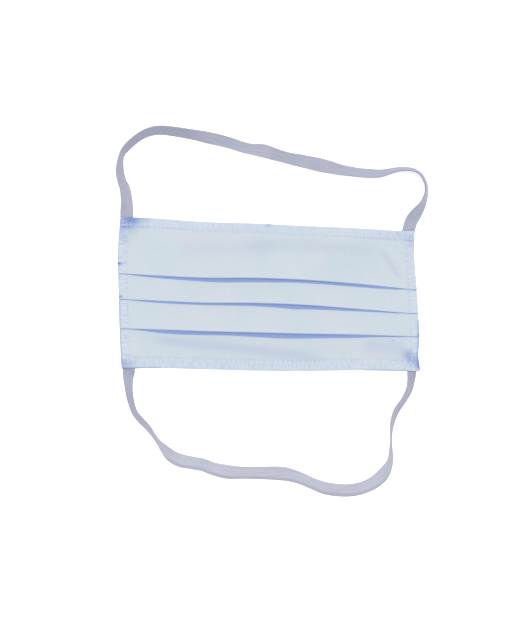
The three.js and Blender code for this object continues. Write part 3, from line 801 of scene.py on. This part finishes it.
def hem_puckers(x, y, cloth):
    """Puckers of the cloth beside its seams: their height from 0 to 1, and how strongly the seams draw
    the cloth up at the side edges and at the long edges, which sets how much painted highlight and
    shade of puckers the cloth's colour gets there."""
    left, right, bottom, top = insets(x, y)
    drift = sum(
        strong * np.sin((on_x * x + on_y * y) / size + start)
        for size, on_x, on_y, strong, start in zip(*DRIFT.values())
    )
    height, drawn = np.zeros(np.shape(x)), {"side": np.zeros(np.shape(x)), "long": np.zeros(np.shape(x))}
    # The kind of edge, the inset from it, its hem's width, the way along it, which slants, and the strength.
    edges = (
        ("side", left, cloth.side_hem, y - 0.5 * left, 1.0),
        ("side", right, cloth.side_hem, y + 0.4 * right, 0.8),
        ("long", bottom, cloth.bottom_hem, x + 0.3 * bottom, 0.7),
        ("long", top, cloth.top_hem, x - 0.3 * top, 0.5),
    )
    for kind, inset, width, along, strength in edges:
        fade = 1 - smooth((inset - width * PUCKER_END) / (width * PUCKER_FADE))
        window = smooth(inset / PUCKER_RISE) * fade * strength
        turn = math.tau * along / cloth.pucker_pitch + drift
        wave = 0.5 + 0.3 * np.sin(turn) + 0.2 * np.sin(0.63 * turn + 2.0 * drift)
        height = np.maximum(height, window * wave)
        drawn[kind] = np.maximum(drawn[kind], window)
    return height, drawn["side"], drawn["long"]


def seam_inset(x, y, cloth):
    """How far inside the nearest seam line a place is: more than 0 in a hem, less than 0 on the face."""
    widths = (cloth.side_hem, cloth.side_hem, cloth.bottom_hem, cloth.top_hem)
    return np.max([width - inset for width, inset in zip(widths, insets(x, y))], axis=0)


def front_relief(x, y, cloth):
    """How much the outermost layer alone stands up: puffed, puckered hems and soft creases."""
    height = hem_puckers(x, y, cloth)[0]
    within = seam_inset(x, y, cloth)
    puff = cloth.puff * smooth(within / PUFF_RISE) + FACE_PUFF * smooth(-within / FACE_PUFF_RISE)
    return puff + cloth.pucker * height - creases(x, y)[0]


def deep_blue_and_painted_shade(x, y):
    """How much of the deep blue is painted on the cloth at each place, from 0 to 1: painted shade in the
    creases, along the turned edges and seam lines and at the pleat ends, and a deeper blue at the band
    corners and a few faint patches.
    """
    tint = creases(x, y)[1]
    for at_x, at_y, reach_x, reach_y, blue in zip(*MARKS.values()):
        tint += blue * bell(np.hypot((x - at_x) / reach_x, (y - at_y) / reach_y), 1)
    beside = insets(x, y)
    for low, high, inset, half, edge, blue in zip(*LINES.values()):
        along = y if EDGES[int(edge)] in ("left", "right") else x
        ends = smooth((along - low) / LINE_FADE) * smooth((high - along) / LINE_FADE)
        tint += blue * bell(beside[int(edge)] - inset, half) * ends
    return np.clip(tint, 0, 1)


def cloth_fields(points, run, shade, cloth):
    """What the cloth's material reads at each point."""
    x, y = points[..., 0], points[..., 1]
    _, drawn_side, drawn_long = hem_puckers(x, y, cloth)
    return {
        "flat": np.stack([x, run, np.zeros(np.shape(x))], -1),
        "shade": np.broadcast_to(shade, np.shape(x)),
        "seam": seam_inset(x, y, cloth),
        "tint": deep_blue_and_painted_shade(x, y),
        "drawn_side": drawn_side,
        "drawn_long": drawn_long,
    }


def pleated_points(cloth, bands):
    """The points of the whole pleated cloth, with each row's run down the cloth and its shade."""
    angles = np.linspace(ROUND_FROM, 90, ROUND_STEPS, endpoint=False)
    zone = HEM_ZONE / (RIGHT_END - LEFT_END)
    columns = [SIDE_COLUMNS, MIDDLE_COLUMNS, SIDE_COLUMNS]
    shares = np.concatenate([[0], spread([0, zone, 1 - zone, 1], columns)])
    share_of = np.concatenate([np.zeros(ROUND_STEPS), shares, np.ones(ROUND_STEPS)])
    angle_of = np.concatenate([angles, np.full(len(shares), 90.0), angles[::-1]])
    side_of = np.concatenate([-np.ones(ROUND_STEPS), np.zeros(len(shares)), np.ones(ROUND_STEPS)])
    lines = [pleated_line(between(LEFT_END, RIGHT_END, s), cloth) for s in share_of]
    y, z, hidden, kept, shade = (np.stack([line[i] for line in lines], 1) for i in range(5))
    out = np.cos(np.radians(angle_of)) * cloth.edge_round
    down = (1 + np.sin(np.radians(angle_of))) / 2
    left, right = side_edges(y)
    inner = cloth.edge_round + hidden * INNER_INSET
    reach = (1 - hidden) * out + hidden * INNER_ROUND * (90 - angle_of) / (90 - ROUND_FROM)
    x = between(left + inner, right - inner, share_of) + side_of * reach
    kept = kept * (1 - (1 - down) * (1 - hidden))
    front = front_relief(x, y, cloth) * (1 - hidden)
    z = cloth.leg + (z + front - cloth.leg) * kept + body_relief(x, y, cloth) + band_lift(x, y, bands)
    middle = len(share_of) // 2
    steps = np.hypot(np.diff(y[:, middle]), np.diff(z[:, middle]))
    run = np.concatenate([[0], np.cumsum(steps)])[:, None] * np.ones(len(share_of))
    return np.stack([x, y, z], -1), run, shade


def front_height(x, y, cloth, bands):
    """The height of the middle of the outermost layer at places near the edges of the face."""
    left, right = side_edges(y)
    keys = between(LEFT_END, RIGHT_END, (x - left) / (right - left))
    heights = [np.interp(one_y, *front_line(key, cloth)) for key, one_y in zip(keys, y)]
    relief = front_relief(x, y, cloth) + body_relief(x, y, cloth) + band_lift(x, y, bands)
    return np.array(heights) + relief


# ---------------------------------------------------------------- the pieces


HEM_STEPS = 9
HEM_LAP = 4.0  # degrees left open between the panel's turned edge and its hem
LONG_STATIONS, SIDE_STATIONS = 150, 130  # rows along each long hem and each side hem
MITRE_GAP = 0.25 * MM
BAND_COLUMNS = 18  # columns of the tape on each side of its middle line
BAND_AIR = 0.02 * MM  # between the floor and a band that lies on it
STITCH_SIDES, STITCH_CUTS = 6, (-0.3, 0.0, 0.3)  # sides of a stitch, and where it is cut, in its lengths
STITCH_DIP, STITCH_TAPER = 1.5, 0.35  # how far its ends dip, in radii, and how much thinner they are
STITCH_LIFT, TACK_LIFT = 0.3, 0.2  # how far a thread's middle stands off the cloth, in its radii
SEAM_END = 0.6 * MM  # a long seam stops this far short of the side seams
SIDE_SEAM_LOW, SIDE_SEAM_HIGH = -27 * MM, {"left": 48 * MM, "right": 40 * MM}
TACK_STEP = 0.55  # from one stitch of a zigzag to the next, in stitches
TACK_RUN, TACK_SLANT = 0.5, 0.6  # a zigzag's slant: so much along in stitches, so much across in widths


def hem_line(width, front, cloth):
    """The line across a turned hem: insets from the finished edge and heights, one row for each front."""
    angles = np.radians(np.linspace(ROUND_FROM - HEM_LAP, -90, 5))
    turn = cloth.edge_round * (1 - np.cos(angles))
    inset = np.concatenate([turn, spread([cloth.edge_round, width], [HEM_STEPS])])
    sink = np.concatenate([(1 + np.sin(angles)) / 2, np.zeros(HEM_STEPS)])
    return inset, cloth.leg + (front - cloth.leg)[:, None] * sink


def long_hem_points(edge, width, side, cloth, bands):
    """The hem of the nose edge (side 1) or the chin edge (side -1)."""
    s = np.linspace(0, 1, LONG_STATIONS)
    key = between(LEFT_END, RIGHT_END, s)
    front = cloth.leg + between(cloth.sewn_pitch, cloth.pitch, looseness(key))
    inset, z = hem_line(width, front, cloth)
    y = curve(SECTIONS, edge, key)[:, None] - side * inset
    short = inset * cloth.side_hem / width + MITRE_GAP
    left, right = side_edges(y)
    x = between(left + short, right - short, s[:, None])
    return np.stack([x, y, z + band_lift(x, y, bands)], -1)


def side_hem_points(edge, x_key, side, cloth, bands):
    """The hem of the left edge (side 1) or the right edge (side -1)."""
    s = np.linspace(0, 1, SIDE_STATIONS)
    top, bottom = curve(SECTIONS, "top", x_key), curve(SECTIONS, "bottom", x_key)
    front = np.interp(between(bottom, top, s), *front_line(x_key, cloth))
    inset, z = hem_line(cloth.side_hem, front, cloth)
    low = bottom + inset * cloth.bottom_hem / cloth.side_hem + MITRE_GAP
    high = top - inset * cloth.top_hem / cloth.side_hem - MITRE_GAP
    y = between(low, high, s[:, None])
    x = curve(SIDES, edge, y) + side * inset
    return np.stack([x, y, z + band_lift(x, y, bands)], -1)


def band_points(route, bands):
    """The middle surface of a band, with what its material reads: the flat tape, and its tone, which is
    painted shade.
    """
    run = np.concatenate([[0], np.cumsum(np.hypot(np.diff(route["x"]), np.diff(route["y"])))])
    rows = {"run": run, **route}
    at = np.linspace(0, run[-1], int(run[-1] / bands.step))
    x, y = curve(rows, "x", at), curve(rows, "y", at)
    along = np.stack([np.gradient(x, at), np.gradient(y, at)], -1)
    along /= np.linalg.norm(along, axis=1)[:, None]
    lean, curl = (np.radians(curve(rows, column, at)) for column in ("lean", "curl"))
    width, lip, tone = (curve(rows, column, at)[:, None] for column in ("width", "lip", "tone"))
    across = np.linspace(-0.5, 0.5, 2 * BAND_COLUMNS + 1) * width
    turned = smooth((lip - width / 2 - across) / bands.lip_bend)
    slope = lean[:, None] + curl[:, None] * turned
    middle_slope = (slope[:, 1:] + slope[:, :-1]) / 2
    start = np.zeros((len(at), 1))
    reach = np.concatenate([start, np.cumsum(np.cos(middle_slope) * np.diff(across), 1)], 1)
    rise = np.concatenate([start, np.cumsum(np.sin(middle_slope) * np.diff(across), 1)], 1)
    reach -= reach[:, BAND_COLUMNS : BAND_COLUMNS + 1]
    rise -= rise.min(1)[:, None]
    stand = bands.wall / 2 * np.abs(np.cos(lean)) + BAND_AIR
    left = np.stack([-along[:, 1], along[:, 0]], -1)
    places = np.stack([x, y], -1)[:, None] + reach[..., None] * left[:, None]
    points = np.concatenate([places, (rise + stand[:, None])[..., None]], -1)
    flat = np.stack(np.broadcast_arrays(at[:, None], across, 0.0), -1)
    # Painted shade on the turned-down lip.
    tone = tone + bands.lip_tone * turned
    return points[:, ::-1], {"flat": flat[:, ::-1], "tone": tone[:, ::-1]}


def one_stitch(seams):
    """Points and faces of one stitch along X: a short thread whose two ends dip into the cloth."""
    bpy.ops.object.select_all(action="DESELECT")
    bpy.ops.mesh.primitive_cylinder_add(
        vertices=STITCH_SIDES, radius=seams.radius, depth=seams.stitch, rotation=(0, math.pi / 2, 0)
    )
    thread = bpy.context.object
    bpy.ops.object.transform_apply(location=True, rotation=True, scale=True)
    bpy.ops.object.mode_set(mode="EDIT")
    bpy.ops.mesh.select_all(action="SELECT")
    for place in STITCH_CUTS:
        bpy.ops.mesh.bisect(plane_co=(place * seams.stitch, 0, 0), plane_no=(1, 0, 0))
        bpy.ops.mesh.select_all(action="SELECT")
    bpy.ops.object.mode_set(mode="OBJECT")
    for vertex in thread.data.vertices:
        far = abs(vertex.co.x) / (seams.stitch / 2)
        vertex.co.z -= STITCH_DIP * seams.radius * far**3
        vertex.co.y *= 1 - STITCH_TAPER * far**2
    points = np.array([vertex.co for vertex in thread.data.vertices])
    faces = [tuple(face.vertices) for face in thread.data.polygons]
    bpy.data.objects.remove(thread)
    return points, faces


def sewn(name, places, directions, material, seams):
    """One mesh of stitches at places, each along its direction in the plane of the cloth."""
    points, faces = one_stitch(seams)
    all_points, all_faces = [], []
    for place, direction in zip(places, directions):
        along = np.array([*direction, 0.0]) / np.hypot(*direction)
        beside = np.array([-along[1], along[0], 0.0])
        turned = points[:, :1] * along + points[:, 1:2] * beside + points[:, 2:] * np.array([0, 0, 1.0])
        all_faces += [tuple(i + len(all_points) * len(points) for i in face) for face in faces]
        all_points.append(turned + place)
    mesh = bpy.data.meshes.new(name)
    mesh.from_pydata(np.concatenate(all_points).tolist(), [], all_faces)
    made = link_mesh(name, mesh, material)
    bpy.ops.object.shade_smooth_by_angle(angle=THREAD_SMOOTH)
    return made


def seam_runs(cloth, seams):
    """The four seam lines: x and y of the middle of each stitch, and its direction."""
    corner = cloth.side_hem + SEAM_END
    runs = []
    for edge, width, side in (("top", cloth.top_hem, 1), ("bottom", cloth.bottom_hem, -1)):
        x = np.arange(LEFT_END + corner, RIGHT_END - corner, seams.pitch)
        y = curve(SECTIONS, edge, x) - side * width
        runs.append((x, y))
    for edge, side in (("left", 1), ("right", -1)):
        y = np.arange(SIDE_SEAM_LOW, SIDE_SEAM_HIGH[edge], seams.pitch)
        runs.append((curve(SIDES, edge, y) + side * cloth.side_hem, y))
    for x, y in runs:
        yield x, y, np.stack([np.gradient(x), np.gradient(y)], -1)


def zigzags(seams):
    """The zigzag tack on each sewn band end, stated as the seam lines are."""
    step, slant = seams.stitch * TACK_STEP, seams.tack_width * TACK_SLANT
    number = np.arange(int(seams.tack_reach / step))[:, None]
    for band in (UPPER_BAND, LOWER_BAND):
        for end, outer in BAND_ENDS:
            tail, near = (np.array([band["x"][i], band["y"][i]]) for i in (end, outer))
            run = (near - tail) / np.linalg.norm(near - tail)
            beside = np.array([-run[1], run[0]]) * np.where(number % 2, 1, -1)
            places = tail + run * (number + 0.5) * step
            yield places[:, 0], places[:, 1], run * TACK_RUN * seams.stitch + beside * slant


class MaskOperator:
    bl_options = {"REGISTER", "UNDO"}


class MASK_OT_pleated_cloth(MaskOperator, bpy.types.Operator):
    """Fold the face of the mask: one cloth with three knife pleats, opened a little in the middle"""

    bl_idname = "face_mask.pleated_cloth"
    bl_label = "Pleated cloth"

    def execute(self, context):
        cloth, bands = context.scene.mask_cloth, context.scene.mask_bands
        points, run, shade = pleated_points(cloth, bands)
        material = cloth_material("spunbond_nonwoven_pale_blue", cloth)
        fields = cloth_fields(points, run, shade, cloth)
        settle(grid_piece("pleated_cloth", points, cloth.wall, material, fields), "face_cloth", "face_panel")
        return {"FINISHED"}


class MASK_OT_turned_hems(MaskOperator, bpy.types.Operator):
    """Turn the four edges of the cloth under, mitred at the corners"""

    bl_idname = "face_mask.turned_hems"
    bl_label = "Turned hems"

    def execute(self, context):
        cloth, bands = context.scene.mask_cloth, context.scene.mask_bands
        material = cloth_material("spunbond_nonwoven_turned_hem", cloth)
        hems = (
            ("nose_edge_hem", "top_hem", long_hem_points, "top", cloth.top_hem, 1),
            ("chin_edge_hem", "bottom_hem", long_hem_points, "bottom", cloth.bottom_hem, -1),
            ("left_edge_hem", "left_side_hem", side_hem_points, "left", LEFT_END, 1),
            ("right_edge_hem", "right_side_hem", side_hem_points, "right", RIGHT_END, -1),
        )
        for name, node, shape, edge, measure, side in hems:
            points = shape(edge, measure, side, cloth, bands)[:, ::-side]
            fields = cloth_fields(points, points[..., 1], -SHADE_LIMIT, cloth)
            settle(grid_piece(name, points, cloth.wall, material, fields), "hem_cloth", node)
        return {"FINISHED"}


class MASK_OT_seams(MaskOperator, bpy.types.Operator):
    """Sew the hems down with a straight stitch, and tack the band ends with a zigzag"""

    bl_idname = "face_mask.seams"
    bl_label = "Seams"

    def execute(self, context):
        scene = context.scene
        cloth, bands, seams = scene.mask_cloth, scene.mask_bands, scene.mask_seams
        sewing = (
            ("seam_stitches", "pale", seam_runs(cloth, seams), STITCH_LIFT),
            ("corner_tacks", "white", zigzags(seams), TACK_LIFT),
        )
        for name, tone, runs, lift in sewing:
            material = thread_material("spun_polyester_thread_" + tone, getattr(seams, tone), seams)
            x, y, directions = (np.concatenate(part) for part in zip(*runs))
            z = front_height(x, y, cloth, bands) + cloth.wall / 2 + lift * seams.radius
            settle(sewn(name, np.stack([x, y, z], -1), directions, material, seams), "hem_cloth")
        return {"FINISHED"}


class MASK_OT_head_bands(MaskOperator, bpy.types.Operator):
    """Lay the two elastic head bands in their loops, each sewn under two corners of the cloth"""

    bl_idname = "face_mask.head_bands"
    bl_label = "Head bands"

    def execute(self, context):
        bands = context.scene.mask_bands
        material = elastic_material(bands)
        routes = (
            ("upper_elastic", UPPER_BAND, "upper_head_band"),
            ("lower_elastic", LOWER_BAND, "lower_head_band"),
        )
        for name, route, node in routes:
            points, fields = band_points(route, bands)
            settle(grid_piece(name, points, bands.wall, material, fields), "band_elastic", node)
        return {"FINISHED"}


class MASK_OT_studio(MaskOperator, bpy.types.Operator):
    """Set up the pale floor, the soft light and the camera that looks straight down"""

    bl_idname = "face_mask.studio"
    bl_label = "Studio"

    def execute(self, context):
        studio = context.scene.mask_studio
        bpy.ops.object.select_all(action="DESELECT")
        bpy.ops.mesh.primitive_plane_add(size=studio.floor_size)
        floor = context.object
        floor.name = "studio_floor"
        material, add = new_material("matt_white_board")
        board = linear(studio.floor_colour)
        glow = {"Emission Color": board, "Emission Strength": studio.floor_glow}
        shader = add(
            "BsdfPrincipled", {"Base Color": board, "Roughness": 0.9, "Specular IOR Level": 0.1, **glow}
        )
        add("OutputMaterial", {}, {"Surface": shader})
        floor.data.materials.append(material)

        bpy.ops.object.light_add(type="SUN", rotation=(studio.sun_height - math.pi / 2, 0, 0))
        key = context.object
        key.name = "key_light"
        key.data.energy, key.data.angle = studio.sun, studio.sun_spread

        world = bpy.data.worlds.new("studio_fill")
        world.use_nodes = True
        world.node_tree.nodes.clear()
        add = functools.partial(add_node, world.node_tree)
        sky = add("Background", {"Color": linear("#ffffff"), "Strength": studio.sky})
        add("OutputWorld", {}, {"Surface": sky})
        context.scene.world = world

        place = (studio.view_x, studio.view_y, studio.camera_height)
        bpy.ops.object.camera_add(location=place, rotation=(0, 0, 0))
        camera = context.object
        camera.name = "camera_above"
        camera.data.sensor_fit = "VERTICAL"
        camera.data.lens = camera.data.sensor_height * studio.camera_height / studio.view_height
        camera.data.clip_start, camera.data.clip_end = 0.01, 20.0
        context.scene.camera = camera
        context.scene.view_settings.view_transform = "Standard"
        return {"FINISHED"}


OPERATORS = (
    MASK_OT_pleated_cloth,
    MASK_OT_turned_hems,
    MASK_OT_seams,
    MASK_OT_head_bands,
    MASK_OT_studio,
)


class MASK_PT_build(bpy.types.Panel):
    """The settings of the mask and the operators that build it"""

    bl_idname = "MASK_PT_build"
    bl_label = "Face Mask"
    bl_space_type = "VIEW_3D"
    bl_region_type = "UI"
    bl_category = "Face Mask"

    def draw(self, context):
        for operator in OPERATORS:
            self.layout.operator(operator.bl_idname)
        for name, group in SETTINGS.items():
            box = self.layout.box()
            box.label(text=group.__doc__)
            for key in group.__annotations__:
                box.prop(getattr(context.scene, name), key, text=key.replace("_", " ").capitalize())


def register():
    for group in SETTINGS.values():
        bpy.utils.register_class(group)
    for name, group in SETTINGS.items():
        setattr(bpy.types.Scene, name, bpy.props.PointerProperty(type=group))
    for shown in (*OPERATORS, MASK_PT_build):
        bpy.utils.register_class(shown)


def unregister():
    for shown in (MASK_PT_build, *reversed(OPERATORS)):
        bpy.utils.unregister_class(shown)
    for name, group in SETTINGS.items():
        delattr(bpy.types.Scene, name)
        bpy.utils.unregister_class(group)


def main():
    register()
    bpy.ops.face_mask.pleated_cloth()
    bpy.ops.face_mask.turned_hems()
    bpy.ops.face_mask.seams()
    bpy.ops.face_mask.head_bands()
    bpy.ops.face_mask.studio()


if __name__ == "__main__":
    main()
